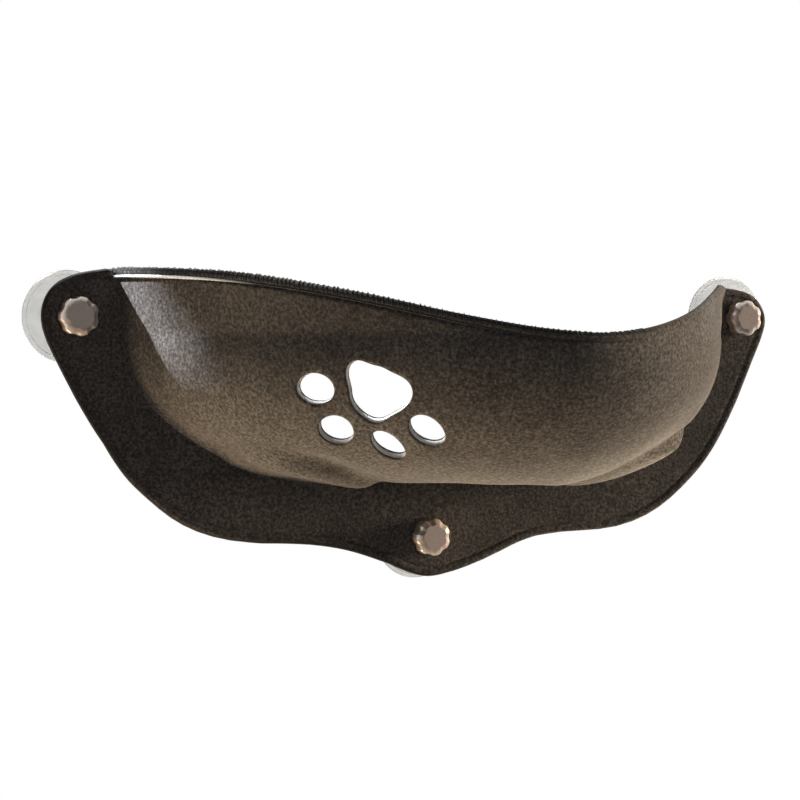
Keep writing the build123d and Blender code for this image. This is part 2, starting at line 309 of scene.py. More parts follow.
SPOTS = (("paw_edge_spot", (-0.142, -0.27, -0.07), HIGH_BACK, 260, 4.2, (1, 1, 1),
          ("foam_sheet", "outer_felt_sheet")),
         ("right_corner_spot", (0.14, -0.262, 0.018), (0.9, -0.3, 0.3), 70, 2.2, (0.75, 0.88, 1),
          ("outer_felt_sheet",)),
         ("right_foot_spot", (0.155, -0.140, -0.118), (0.6, -0.5, -0.62), 63, 4, (1, 0.83, 0.61),
          ("outer_felt_sheet",)),
         ("left_crease_spot", (-0.19, -0.04, -0.115), (-0.5, 0.03, -0.86), 50, 5.5, (1, 0.81, 0.58),
          ("outer_felt_sheet",)),
         ("left_corner_spot", (-0.272, -0.040, 0.022), (-0.55, 0.5, 0.67), 1400, 1.8, (0.88, 0.93, 1),
          ("outer_felt_sheet", "hem_chain_thread", "overlock_loops")))


def mesh_object(name, points, faces, smooth=True):
    """Mesh from an array of points and a list of arrays of faces."""
    mesh = bpy.data.meshes.new(name)
    polygons = []
    for block in faces:
        polygons += block.tolist()
    mesh.from_pydata(points.tolist(), [], polygons)
    mesh.validate()
    mesh.polygons.foreach_set("use_smooth", np.full(len(mesh.polygons), smooth))
    mesh.update()
    obj = bpy.data.objects.new(name, mesh)
    bpy.context.scene.collection.objects.link(obj)
    return obj


def mark(obj, name, values):
    """Keeps one number per point on the mesh, for its material to read."""
    layer = obj.data.attributes.new(name, "FLOAT", "POINT")
    layer.data.foreach_set("value", np.asarray(values, np.float32))


def put_down(obj, body, material, replaced=()):
    """Material, body, slot and replaced nodes of a finished piece."""
    obj.data.materials.clear()
    obj.data.materials.append(material)
    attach(obj, body)
    if replaced:
        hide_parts(*replaced)


def grid_faces(rows, columns, closed=False):
    """Four-sided faces of a rows by columns grid of points, the last column
    joined to the first where the grid is closed."""
    around = columns if closed else columns - 1
    r, c = np.meshgrid(np.arange(rows - 1), np.arange(around), indexing="ij")
    a = r * columns + c
    b = r * columns + (c + 1) % columns
    return np.stack([a, b, b + columns, a + columns], -1).reshape(-1, 4)


def value_at(place, rows):
    """Value at each place, from rows of a place and a value, straight between."""
    return np.interp(place, *np.array(rows).T)


def running_length(points):
    """Distance from the first point to each one, along the line of points."""
    return np.concatenate([[0], np.cumsum(np.linalg.norm(np.diff(points, axis=0), axis=1))])


def at_length(place, length, points):
    """Points of a line at places along it, given each point's running length."""
    return np.stack([np.interp(place, length, points[:, i]) for i in range(3)], -1)


def natural_spline(points, samples):
    """Smooth curve through points: cubic pieces whose second derivative is
    continuous along the running chord length and zero at both ends."""
    points = np.asarray(points, float)
    knots = running_length(points)
    gap = np.diff(knots)[:, None]
    count = len(points)
    matrix = np.eye(count)
    inner = np.arange(1, count - 1)
    matrix[inner, inner - 1] = gap[:-1, 0]
    matrix[inner, inner] = 2 * (gap[:-1, 0] + gap[1:, 0])
    matrix[inner, inner + 1] = gap[1:, 0]
    slope = np.diff(points, axis=0) / gap
    right = np.zeros_like(points)
    right[1:-1] = 6 * np.diff(slope, axis=0)
    bend = np.linalg.solve(matrix, right)
    at = np.linspace(0, knots[-1], samples)
    k = np.clip(np.searchsorted(knots, at, side="right") - 1, 0, count - 2)
    h = gap[k]
    a = (knots[k + 1] - at)[:, None] / h
    b = 1 - a
    cubic = ((a ** 3 - a) * bend[k] + (b ** 3 - b) * bend[k + 1]) * h ** 2 / 6
    return a * points[k] + b * points[k + 1] + cubic


def flange_outline():
    """Outline from the left top corner, round the tip, to the right one."""
    right = [(x * HALF_WIDTH, z * TIP_DROP) for x, z in LOWER_OUTLINE_SHARES]
    right += [(x * HALF_WIDTH, z * TOP_RISE) for x, z in UPPER_OUTLINE_SHARES]
    right.append((CORNER_X, TOP_RISE))
    left = [(-x, z) for x, z in right[::-1]]
    return natural_spline(left + [(0, -TIP_DROP)] + right, OUTLINE_SAMPLES)


def rim_height(x):
    """Height of the rim above its low point: a raised cosine across."""
    span = BOWL_HALF + BOWL_FLARE
    return RIM_RISE / 2 * (1 - np.cos(np.pi * np.clip(x, -span, span) / span))


def level_of(run):
    """Level for a run down the wall from the rim's low point: a quarter
    ellipse below it, and straight up above it, where the run is negative."""
    return np.where(run < 0, -run, -CREASE_DROP * np.sin(np.maximum(run, 0) / TURN_LENGTH))


def half_width(level):
    """Half width of the bowl: an ellipse below the rim level, flared above."""
    down = BOWL_HALF * np.sqrt(np.clip(1 - (level / CREASE_DROP) ** 2, 0, 1))
    return np.where(level > 0, BOWL_HALF + BOWL_FLARE * level / RIM_RISE, down)


def wall_depth(across, level):
    """Distance of the wall from the sheet: the reach at that level times 1 less
    the square of the place across, to a power that makes low slices blunter."""
    swing = np.sqrt(np.clip(1 - (level / BELLY_DROP) ** 2, 0, 1))
    reach = BELLY_REACH + (BOWL_REACH - BELLY_REACH) * swing
    reach = np.where(level > 0, BOWL_REACH + BOWL_FLARE * level / RIM_RISE, reach)
    share = np.clip(-level / FLOOR_DROP, 0, 1)
    bluntness = RIM_BLUNTNESS + (FLOOR_BLUNTNESS - RIM_BLUNTNESS) * share ** BLUNTNESS_GROWTH
    return reach * np.clip(1 - across ** 2, 0, 1) ** (1 / bluntness)


def paw_axes():
    """Middle, across, up and outward directions of the paw's plane."""
    level = -PAW_DROP
    depth = float(wall_depth(PAW_X / half_width(level), level))
    middle = np.array([PAW_X, SHEET_FRONT - depth, RIM_LEVEL + level])
    outward = -np.array([math.sin(PAW_TURN) * math.cos(PAW_TILT),
                         math.cos(PAW_TURN) * math.cos(PAW_TILT), math.sin(PAW_TILT)])
    across = np.array([math.cos(PAW_TURN), -math.sin(PAW_TURN), 0])
    return middle, across, np.cross(outward, across), outward


def pad_distance(a, b):
    """Distance from the pad's edge: its radius is a sum of waves of the angle."""
    x, z = a - PAD_MIDDLE[0], b - PAD_MIDDLE[1]
    turn = np.arctan2(z, x)
    edge = PAD_MEAN_RADIUS + sum(c * np.cos(k * turn) + s * np.sin(k * turn)
                                 for k, (c, s) in enumerate(PAD_WAVES, 1))
    return np.hypot(x, z) - edge


def toe_distance(a, b, x, z, long, wide, turn):
    """Distance from a toe's edge, an ellipse: how far its ring number is from 1,
    over the number's slope."""
    angle = math.radians(turn)
    u = (a - x) * math.cos(angle) + (b - z) * math.sin(angle)
    v = -(a - x) * math.sin(angle) + (b - z) * math.cos(angle)
    ring = np.hypot(u / (long / 2), v / (wide / 2))
    slope = np.hypot(u / (long / 2) ** 2, v / (wide / 2) ** 2) / np.maximum(ring, TINY)
    return (ring - 1) / np.maximum(slope, TINY)


def paw_distance(points):
    """Distance from the nearest paw hole's edge, negative inside."""
    middle, across, up, outward = paw_axes()
    a = (points - middle) @ across
    b = (points - middle) @ up
    shapes = [pad_distance(a, b)] + [toe_distance(a, b, *toe) for toe in TOES]
    away = (points - middle) @ outward
    return np.where(np.abs(away) < PAW_DEPTH, np.min(shapes, 0), 1.0)


def rounded_both(a, b, radius):
    """Distance from what lies within both of two shapes, their corner rounded."""
    corner = np.hypot(np.maximum(a + radius, 0), np.maximum(b + radius, 0))
    return np.minimum(np.maximum(a, b), -radius) + corner


def soft_least(a, b, blend):
    """Smooth least of two distances, a fillet of about the blend between them."""
    share = np.maximum(blend - np.abs(a - b), 0) / blend
    return np.minimum(a, b) - share ** 2 * blend / 4


def smooth_step(share):
    """Rises from 0 to 1 with level ends."""
    share = np.clip(share, 0, 1)
    return share * share * (3 - 2 * share)


def foot_distance(points):
    """Signed distance from the nearer foot: a block with a slanted front, a
    rounded plan corner, a bowed sole and rounded edges."""
    x = np.abs(points[..., 0])
    left = points[..., 0] < 0
    pairs = (FOOT_OUTER, FOOT_PLAN_CORNER, SOLE_BEND, FOOT_EDGE)
    outer, corner, bend, edge = (np.where(left, *pair) for pair in pairs)
    out = SHEET_FRONT - points[..., 1]
    level = points[..., 2] - RIM_LEVEL
    run = x - FOOT_INNER
    sole = -FOOT_DROP + SOLE_SLOPE * run + bend * run ** 2
    below = (sole - level) / np.sqrt(1 + (SOLE_SLOPE + 2 * bend * run) ** 2)
    slant = (out - FOOT_REACH - FOOT_SLANT * (FOOT_SLANT_FROM + level)) / math.hypot(1, FOOT_SLANT)
    front = np.maximum(out - FOOT_REACH, slant)
    plan = rounded_both(x - outer, front, corner)
    plan = rounded_both(plan, -run, edge)
    return rounded_both(plan, below, edge)


def swell_feet(points, normals):
    """Pushes each point out along its normal until it lies on the joined skin
    of bowl and foot, found by halving."""
    low = np.zeros(len(points))
    high = np.full(len(points), FOOT_LIMIT)
    for _ in range(HALVINGS):
        middle = (low + high) / 2
        at = points + middle[:, None] * normals
        value = soft_least(middle, foot_distance(at), FOOT_BLEND)
        low = np.where(value < 0, middle, low)
        high = np.where(value < 0, high, middle)
    return points + low[:, None] * normals


def point_normals(points, triangles):
    """Mean direction of the triangles round each point, weighted by area."""
    a, b, c = (points[triangles[:, i]] for i in range(3))
    area = np.cross(b - a, c - a)
    total = np.zeros_like(points)
    for i in range(3):
        np.add.at(total, triangles[:, i], area)
    length = np.linalg.norm(total, axis=1, keepdims=True)
    return total / np.maximum(length, TINY)


def spaced(low, high, fine_low, fine_high):
    """Places from low to high, close together between the two fine marks."""
    places = np.linspace(low, high, SAMPLES)
    step = np.where((places > fine_low) & (places < fine_high), FINE, WIDE)
    count = np.concatenate([[0], np.cumsum(np.diff(places) / ((step[1:] + step[:-1]) / 2))])
    number = int(round(count[-1])) + 1
    return np.interp(np.linspace(0, count[-1], number), count, places)


def bowl_columns():
    """Angle round the bowl and rise of the rim at each column of points. The rise
    and the flared half width, which depend on each other, are settled in steps."""
    turn = np.linspace(0, np.pi, SAMPLES + 1)
    level = np.zeros_like(turn)
    for _ in range(RIM_STEPS):
        level = (level + rim_height(-np.cos(turn) * half_width(level))) / 2
    x = -np.cos(turn) * half_width(0)
    y = wall_depth(-np.cos(turn), 0)
    length = running_length(np.stack([x, y], -1))
    marks = np.interp([PAW_X - PAW_SIDE, PAW_X + PAW_SIDE], x, length)
    columns = spaced(0, length[-1], *marks)
    return np.interp(columns, length, turn), np.interp(columns, length, level)


def bowl_grid():
    """Grid of points on the bowl: columns across, rows down from the rim and
    then in along the floor to the sheet. Also the number of rows on the wall."""
    turn, rim = bowl_columns()
    across = -np.cos(turn)
    floor_run = TURN_LENGTH * math.asin(FLOOR_DROP / CREASE_DROP)
    hem = np.array(HEM_SHARES) * HEM
    rest = spaced(hem[-1], floor_run, 0, PAW_LOW_RUN)[1:]
    share = np.concatenate([np.zeros(len(hem)), (rest - hem[-1]) / (floor_run - hem[-1])])
    flat = np.concatenate([hem, rest])
    run = flat[:, None] - rim[None, :] * (1 - share[:, None])
    level = level_of(run)
    wall_x = across * half_width(level)
    wall_y = SHEET_FRONT - wall_depth(across[None, :], level)
    wall = np.stack([wall_x, wall_y, RIM_LEVEL + level], -1)
    inward = np.linspace(1, 0, FLOOR_ROWS + 1)[1:, None]
    floor_y = SHEET_FRONT + (wall_y[-1] - SHEET_FRONT) * inward
    floor_x = np.broadcast_to(wall_x[-1], floor_y.shape)
    floor = np.stack([floor_x, floor_y, np.full(floor_y.shape, RIM_LEVEL - FLOOR_DROP)], -1)
    return np.concatenate([wall, floor]), len(wall)


def settle(points):
    """Small bends of the soft bowl away from its drawn form: the right wall is
    pulled in and the floor lifted, growing with the distance from the sheet."""
    x, y, z = points.T
    out = smooth_step((SHEET_FRONT - y) / SETTLE_REACH)
    pull = value_at(-z, RIGHT_PULL) * smooth_step(x / RIGHT_SIDE) * out
    low = np.clip((-z - LIFT_FROM) / LIFT_BLEND, 0, 1)
    lift = value_at(x, FLOOR_LIFT) * low * out
    beyond = smooth_step((SHEET_FRONT - y - BEYOND_FROM) / BEYOND_BLEND)
    lift += value_at(x, FOOT_LIFT) * low * (1 - beyond)
    lift += value_at(x, RIDGE_LIFT) * low * beyond
    return points + np.stack([-pull, np.zeros_like(x), lift], -1)


def lower_right_top(points):
    """The right upper corner hangs lower than the left one: past the place
    where the rim turns back it rises no more, and it runs straight outwards."""
    x, y, z = points.T
    rise = rim_height(x)
    drop = np.where(x > 0, rise - soft_least(rise, rim_height(RIM_TURN_X), RIM_TURN_BLEND), 0)
    z = z - drop * np.clip((z - RIM_LEVEL) / np.maximum(rise, TINY), 0, 1)
    near = np.clip(1 - (SHEET_FRONT - y) / CORNER_REACH, 0, 1)
    side = smooth_step((x - RIM_TURN_X) / CORNER_SIDE_RUN)
    side *= np.clip((HALF_WIDTH - CORNER_END_GAP - x) / CORNER_END_RUN, 0, 1)
    push = CORNER_PUSH * near * side * smooth_step((z - CORNER_FROM) / CORNER_RUN)
    return np.stack([x + push, y, z], -1)


def split_quads(faces):
    """Two triangles for each four-sided face, without those that shrink away."""
    triangles = np.concatenate([faces[:, [0, 1, 2]], faces[:, [0, 2, 3]]])
    a, b, c = triangles.T
    return triangles[(a != b) & (b != c) & (c != a)]


def round_crease(points, normals):
    """Moves the bowl's points next to the sheet outwards, by a quarter circle."""
    out = np.clip(SHEET_FRONT - points[:, 1], 0, CREASE_RADIUS)
    shift = CREASE_RADIUS - np.sqrt(CREASE_RADIUS ** 2 - (CREASE_RADIUS - out) ** 2)
    plane = normals * (1, 0, 1)
    plane /= np.maximum(np.linalg.norm(plane, axis=1, keepdims=True), TINY)
    return points + plane * shift[:, None]


def flange_strip(edge):
    """Rows of points from the crease's X and Z out along rays to the outline. The
    rows of the hem lie as they do along the rim."""
    outline = flange_outline()
    rays = np.arctan2(edge[:, 0], RAY_CENTRE_Z - edge[:, 1])
    angles = np.arctan2(outline[:, 0], RAY_CENTRE_Z - outline[:, 1])
    reach = np.hypot(outline[:, 0], outline[:, 1] - RAY_CENTRE_Z)
    end = np.interp(rays, angles, reach) + value_at(np.degrees(rays), OUTLINE_TRIM)
    start = np.hypot(edge[:, 0], edge[:, 1] - RAY_CENTRE_Z)
    end = np.maximum(end, start + LEAST_STRIP)
    band = np.minimum(HEM * HEM_SHARES[-1], (end - start) / 2)
    share = 1 - np.linspace(1, 0, STRIP_ROWS + 1)[1:, None]
    plain = start + (end - band - start) * share
    hem = end - band * np.array(HEM_SHARES[-2::-1])[:, None] / HEM_SHARES[-1]
    reach = np.concatenate([plain, hem])
    x = reach * np.sin(rays)
    z = RAY_CENTRE_Z - reach * np.cos(rays)
    return np.stack([x, np.full(x.shape, SHEET_FRONT), z], -1)


def pod_skin():
    """The sheet's front skin: bowl, feet, rounded crease and flange. Gives the
    points, the triangles, and the numbers of the points in the bowl's rows and
    on the flange's outline."""
    grid, wall_rows = bowl_grid()
    rows, columns = grid.shape[:2]
    points = grid.reshape(-1, 3)
    number = np.arange(rows * columns).reshape(rows, columns)
    number[wall_rows:, 0] = number[wall_rows - 1, 0]
    number[wall_rows:, -1] = number[wall_rows - 1, -1]
    bowl = split_quads(number.ravel()[grid_faces(rows, columns)[:, ::-1]])
    points = settle(swell_feet(points, point_normals(points, bowl)))
    points = round_crease(points, point_normals(points, bowl))
    inner = np.concatenate([number[:wall_rows, 0], number[-1, 1:-1], number[:wall_rows, -1][::-1]])
    points[inner, 1] = SHEET_FRONT
    strip = flange_strip(points[inner][:, [0, 2]])
    below = len(points) + np.arange(strip.size // 3).reshape(strip.shape[:2])
    all_rows = np.concatenate([inner[None], below])
    flange = split_quads(all_rows.ravel()[grid_faces(*all_rows.shape)[:, ::-1]])
    points = lower_right_top(np.concatenate([points, strip.reshape(-1, 3)]))
    return points, np.concatenate([bowl, flange]), number, below[-1]


def distance_to_line(points, line):
    """Distance of each point from a line of points, block by block."""
    start = line[:-1]
    step = line[1:] - start
    square = np.maximum((step ** 2).sum(1), TINY)
    result = np.empty(len(points))
    for first in range(0, len(points), BLOCK):
        block = points[first:first + BLOCK, None]
        share = np.clip(((block - start) * step).sum(-1) / square, 0, 1)
        gap = block - start - share[..., None] * step
        result[first:first + BLOCK] = np.sqrt((gap ** 2).sum(-1).min(1))
    return result


def triangle_edges(triangles):
    """The directed edges of all the triangles."""
    return np.concatenate([triangles[:, [0, 1]], triangles[:, [1, 2]], triangles[:, [2, 0]]])


def open_edges(triangles):
    """Directed edges that belong to one triangle only."""
    edges = triangle_edges(triangles)
    low, high = edges.min(1), edges.max(1)
    _, index, count = np.unique(low * (edges.max() + 1) + high, return_index=True,
                                return_counts=True)
    return edges[index[count == 1]]


def cut_paw(points, triangles, normals):
    """Moves points next to a hole's edge onto it and takes out the triangles
    inside. Gives the points, the triangles kept and the marked edge points."""
    value = paw_distance(points)
    edges = triangle_edges(triangles)
    ends = value[edges]
    crossing = edges[ends[:, 0] * ends[:, 1] < 0]
    ends = np.abs(value[crossing])
    near = np.unique(np.where(ends[:, 0] < ends[:, 1], crossing[:, 0], crossing[:, 1]))
    _, across, up, _ = paw_axes()
    for _ in range(PAW_MOVES):
        at = points[near]
        here = paw_distance(at)
        slope = sum(((paw_distance(at + way * PAW_STEP) - here) / PAW_STEP)[:, None] * way
                    for way in (across, up))
        slope -= (slope * normals[near]).sum(1, keepdims=True) * normals[near]
        square = np.maximum((slope ** 2).sum(1), LEAST_SLOPE)
        points[near] = at - (here / square)[:, None] * slope
    value[near] = 0
    inside = value[triangles].min(1) < 0
    middle = points[triangles].mean(1)
    inside |= (value[triangles] == 0).all(1) & (paw_distance(middle) < 0)
    on_edge = np.zeros(len(points), bool)
    on_edge[near] = True
    return points, triangles[~inside], on_edge


def ripple(points):
    """Slow unevenness of moulded felt: a sum of sine waves in turned directions."""
    total = np.zeros(len(points))
    for length, height in RIPPLES:
        way = rng.normal(size=3)
        way *= 2 * np.pi / length / np.linalg.norm(way)
        total += height * np.sin(points @ way + rng.uniform(0, 2 * np.pi))
    return total


def skin_depths(points, edge):
    """How deep the front and back of each layer lie below the drawn form. The
    free edge is rounded by a circle, the hem is lifted by a half wave, and its
    pressed line is a bell-shaped groove."""
    half = SHEET / 2
    round_off = half - np.sqrt(half ** 2 - np.clip(half - edge, 0, half) ** 2)
    groove = HEM_GROOVE * np.exp(-((edge - HEM) / HEM_GROOVE_WIDTH) ** 2)
    on_bowl = points[:, 1] < SHEET_FRONT - BOWL_FROM
    groove *= np.where(on_bowl, np.interp(points[:, 0], HEM_END, (1, 0)), 1)
    lift = HEM_LIFT * np.sin(np.pi * np.clip(edge / HEM, 0, 1))
    front = round_off + groove - lift
    felt_back = np.maximum(FELT, front + FELT)
    foam_front = felt_back + GLUE
    lining_back = np.maximum(SHEET - round_off, foam_front + FELT + GLUE)
    lining_front = lining_back - FELT
    wrapped = np.where(edge < EDGE_WRAP, SHEET - round_off, felt_back)
    return {"outer": (front, wrapped), "foam": (foam_front, lining_front - GLUE),
            "lining": (lining_front, lining_back)}


def used_points(points, faces):
    """Leaves out the points that no face uses, and gives the numbers kept."""
    used = np.unique(np.concatenate([block.ravel() for block in faces]))
    place = np.zeros(len(points), int)
    place[used] = np.arange(len(used))
    return points[used], [place[block] for block in faces], used


def make_outer_felt(skins, triangles, at_hole, edge):
    """Outer felt: its skins share the points of the free edges, and walls join
    them round the paw's holes. Each point's distance from the edge is kept."""
    front, back = skins
    loops = open_edges(triangles)
    hole = at_hole[loops].all(1)
    behind = len(front) + np.arange(len(front))
    free = np.unique(loops[~hole])
    behind[free] = free
    a, b = loops[hole].T
    walls = np.stack([b, a, behind[a], behind[b]], -1)
    faces = [triangles, behind[triangles[:, ::-1]], walls]
    points, faces, used = used_points(np.concatenate([front, back]), faces)
    piece = mesh_object("outer_felt_sheet", points, faces)
    mark(piece, "edge", np.concatenate([edge, edge])[used])
    put_down(piece, "pod", outer_felt_material(), ["outer_felt"])


def make_inner_layer(name, skins, triangles, node, material):
    """Foam or lining: a closed slab with walls along its open edges."""
    front, back = skins
    count = len(front)
    a, b = open_edges(triangles).T
    walls = np.stack([b, a, a + count, b + count], -1)
    faces = [triangles, triangles[:, ::-1] + count, walls]
    points, faces, _ = used_points(np.concatenate([front, back]), faces)
    put_down(mesh_object(name, points, faces), "pod", material, [node])


def make_pod():
    """The three layers of the sheet, cut and hemmed, and the stitches of the rim."""
    points, triangles, rows, outline = pod_skin()
    rim = rows[0]
    normals = point_normals(points, triangles)
    edge = distance_to_line(points, points[rim])
    edge = np.minimum(edge, distance_to_line(points, points[outline]))
    fade = np.clip(edge / HEM, 0, 1)
    points = points + normals * (ripple(points) * fade)[:, None]
    points, kept, at_hole = cut_paw(points, triangles, normals)
    normals = point_normals(points, triangles)
    skins = {name: [points - normals * depth[:, None] for depth in depths]
             for name, depths in skin_depths(points, edge).items()}
    make_outer_felt(skins["outer"], kept, at_hole, edge)
    inner = kept[(edge[kept] > EDGE_WRAP).all(1)]
    make_inner_layer("foam_sheet", skins["foam"], inner, "pod_core", foam_material())
    make_inner_layer("lining_felt_sheet", skins["lining"], inner, "lining_felt",
                     lining_felt_material())
    make_chain(points[rim], points[rows[HEM_LOW_ROW]], normals[rim])
    make_loops(points[rim], points[rows[HEM_LOW_ROW]], normals[rim])


def round_faces(rows, around):
    """Faces of a grid closed round, and a fan at each end. The middles of the
    fans are the two points that follow the grid's."""
    column = np.arange(around)
    after = (column + 1) % around
    last = (rows - 1) * around
    middle = np.full(around, rows * around)
    return [grid_faces(rows, around, True), np.stack([middle, after, column], -1),
            np.stack([middle + 1, last + column, last + after], -1)]


def tube(path, radius, around):
    """Points and faces of a tube along a path, an open line of points: each ring
    stands across the path's direction. The ends are closed by fans."""
    way = np.gradient(path, axis=0)
    way /= np.linalg.norm(way, axis=1, keepdims=True)
    helper = np.where(np.abs(way[:, 2:3]) > UPRIGHT, (0.0, 1.0, 0.0), (0.0, 0.0, 1.0))
    side = np.cross(way, helper)
    side /= np.linalg.norm(side, axis=1, keepdims=True)
    other = np.cross(way, side)
    angle = np.arange(around) / around * 2 * np.pi
    ring = np.cos(angle)[:, None] * side[:, None] + np.sin(angle)[:, None] * other[:, None]
    radius = np.broadcast_to(radius, len(path))
    points = (path[:, None] + ring * radius[:, None, None]).reshape(-1, 3)
    return np.concatenate([points, path[[0, -1]]]), round_faces(len(path), around)


def joined(shapes):
    """Several shapes as one array of points and one list of faces."""
    points, faces = [], []
    count = 0
    for more, blocks in shapes:
        faces += [block + count for block in blocks]
        points.append(more)
        count += len(more)
    return np.concatenate(points), faces


def make_chain(edge, low, outward):
    """Looper thread along the hem's lower line: a tube with a bead per stitch,
    thick at the left end, that stops at the middle."""
    length = running_length(edge)
    fine = np.arange(CHAIN_START, length[-1] - CHAIN_START, CHAIN_STEP)
    line = at_length(fine, length, low)
    proud = at_length(fine, length, outward) * CHAIN_PROUD
    bead = np.abs(np.sin(np.pi * fine / STITCH_SPACING))
    radius = CHAIN_RADIUS * (CHAIN_NECK + CHAIN_SWELL * bead) * value_at(line[:, 0], CHAIN_TAPER)
    keep = line[:, 0] < CHAIN_END
    points, faces = tube((line + proud)[keep], radius[keep], CHAIN_AROUND)
    chain = mesh_object("hem_chain_thread", points, faces)
    put_down(chain, "pod", chain_highlight_material())


def make_loops(edge, low, outward):
    """Overlock loops from the hem's lower line over the edge to the lining side,
    uneven in place and size, and flatter towards the right."""
    down = low - edge
    down /= np.linalg.norm(down, axis=1, keepdims=True)
    length = running_length(edge)
    places = np.arange(LOOP_START, length[-1] - LOOP_START, STITCH_SPACING)
    places = places + rng.uniform(-LOOP_JITTER, LOOP_JITTER, len(places)) * STITCH_SPACING
    along, over, out = np.array(LOOP_PATH).T / 1000
    shapes = []
    for place in places[places < np.interp(LOOP_END, edge[:, 0], length)]:
        start, inward, front = (at_length(place, length, line) for line in (edge, down, outward))
        size = rng.uniform(*LOOP_SIZES)
        flat = value_at(start[0], LOOP_FLAT)
        path = (start + along[:, None] * np.cross(inward, front) * size
                + np.maximum(over, over * flat)[:, None] * inward
                + np.minimum(out, out * flat)[:, None] * front)
        path[LOOP_TOP] -= inward * LOOP_LOOSE * flat * rng.uniform(-1, 1)
        shapes.append(tube(path, LOOP_THREAD, LOOP_AROUND))
    loops = mesh_object("overlock_loops", *joined(shapes))
    put_down(loops, "pod", thread_material())


def circle(around):
    """Equal angles all round."""
    return np.arange(around) / around * 2 * np.pi


def revolved(radius, along):
    """Points and faces of a shape round the Y axis, with a radius for each row
    and angle and a place along Y for each row, closed by a fan at each end."""
    angle = circle(radius.shape[1])
    place = np.broadcast_to(along[:, None], radius.shape)
    points = np.stack([radius * np.cos(angle), place, radius * np.sin(angle)], -1).reshape(-1, 3)
    ends = [[0, along[0], 0], [0, along[-1], 0]]
    faces = [block[:, ::-1] for block in round_faces(*radius.shape)]
    return np.concatenate([points, ends]), faces


def turned(rows, around, lobes=None, ring=False):
    """Profile in millimetres turned about the Y axis. A function of the angle
    gives the lobes' depth. A ring's last row joins its first."""
    profile = np.array([(*row, 0)[:3] for row in rows]) / (1000, 1000, 1)
    cut = lobes(circle(around)) if lobes else np.zeros(around)
    points, faces = revolved(profile[:, :1] - cut * profile[:, 2:], profile[:, 1])
    if not ring:
        return points, faces
    column = np.arange(around)
    after = (column + 1) % around
    last = (len(rows) - 1) * around
    return points[:-2], [faces[0], np.stack([column, after, last + after, last + column], -1)]


def off_middle(angle, sides):
    """Angle from the middle of the nearest of some equal sides."""
    turn = 2 * np.pi / sides
    return (angle + turn / 2) % turn - turn / 2


def knob_lobes(angle):
    """Depth of the scallops: the part of the knob's circle that seven smaller
    circles cut away, its corners softened."""
    away = off_middle(angle, KNOB_LOBES)
    centre = KNOB_RADIUS + SCALLOP_RADIUS - SCALLOP_DEPTH
    inside = np.maximum(SCALLOP_RADIUS ** 2 - (centre * np.sin(away)) ** 2, 0)
    near = centre * np.cos(away) - np.sqrt(inside)
    cut = np.where(inside > 0, KNOB_RADIUS - near, -LOBE_BLEND)
    return -soft_least(-np.maximum(cut, -LOBE_BLEND), np.zeros_like(cut), LOBE_BLEND)


def six_sides(angle):
    """Depth that six flats cut from the circle through their corners."""
    corner = ACROSS_FLATS / math.sqrt(3)
    return corner - np.minimum(ACROSS_FLATS / 2 / np.cos(off_middle(angle, 6)), corner)


def knob_shape():
    """Lobed nut with a bevelled face, a pocket for the insert and a blind bore."""
    return turned(KNOB_ROWS, KNOB_AROUND, knob_lobes)


def insert_shape():
    """Six-sided brass insert with a plain bore."""
    return turned(INSERT_ROWS, NUT_AROUND, six_sides, ring=True)


def washer_shape(front, back):
    """Flat washer with small rounded edges."""
    soft = min(WASHER_SOFT, (back - front) / 3)
    rows = [(radius, front + soft * share) for radius, share in WASHER_ROWS]
    rows += [(radius, back - soft * share) for radius, share in WASHER_ROWS[::-1]]
    return turned(rows, WASHER_AROUND, ring=True)


def stud_shape():
    """Screw with a six-sided head: the shank's radius follows a triangle wave of
    the depth plus one pitch per turn, and it is chamfered at the tip."""
    depth = np.arange(STUD_TIP, STUD_FOOT, STUD_STEP)
    turn = depth[:, None] / THREAD_PITCH + circle(STUD_AROUND) / (2 * np.pi)
    wave = np.abs(2 * (turn - np.floor(turn)) - 1)
    radius = THREAD_RADIUS - THREAD_DEPTH * np.clip(wave * THREAD_STEEPNESS - THREAD_CREST, 0, 1)
    radius = np.minimum(radius, depth[:, None] - STUD_TIP + TIP_RADIUS)
    shank = revolved(radius / 1000, depth / 1000)
    return joined([shank, turned(HEAD_ROWS, NUT_AROUND, six_sides)])


def cup_shape():
    """Clear suction cup: a hub, a thin sloping skirt with three faint steps, a
    flat sealing ring and a shallow hollow with the curve of a parabola."""
    share = np.linspace(0, 1, SKIRT_SAMPLES)
    radius = SKIRT_START[0] + (SKIRT_END[0] - SKIRT_START[0]) * share
    along = SKIRT_START[1] + (SKIRT_END[1] - SKIRT_START[1]) * share ** SKIRT_POWER
    along += STEP_HEIGHT * np.exp(-((radius[:, None] - STEP_RINGS) / STEP_WIDTH) ** 2).sum(1)
    inward = np.linspace(1, 0, HOLLOW_SAMPLES)
    hollow = zip(HOLLOW_RADIUS * inward + HOLLOW_LEAST_RADIUS,
                 HOLLOW_RIM - HOLLOW_DEPTH * (1 - inward ** 2))
    return turned([*HUB_ROWS, *zip(radius, along), *SEAL_ROWS, *hollow], CUP_AROUND)


def bevel_highlight_share(points):
    """1 on the bevelled ring round the knob's face, where a highlight is painted, 0 elsewhere."""
    share = (np.hypot(points[:, 0], points[:, 2]) - BEVEL_HIGHLIGHT_FROM) / BEVEL_HIGHLIGHT_BLEND
    return np.clip(share, 0, 1) * (points[:, 1] < BEVEL_HIGHLIGHT_BACK)


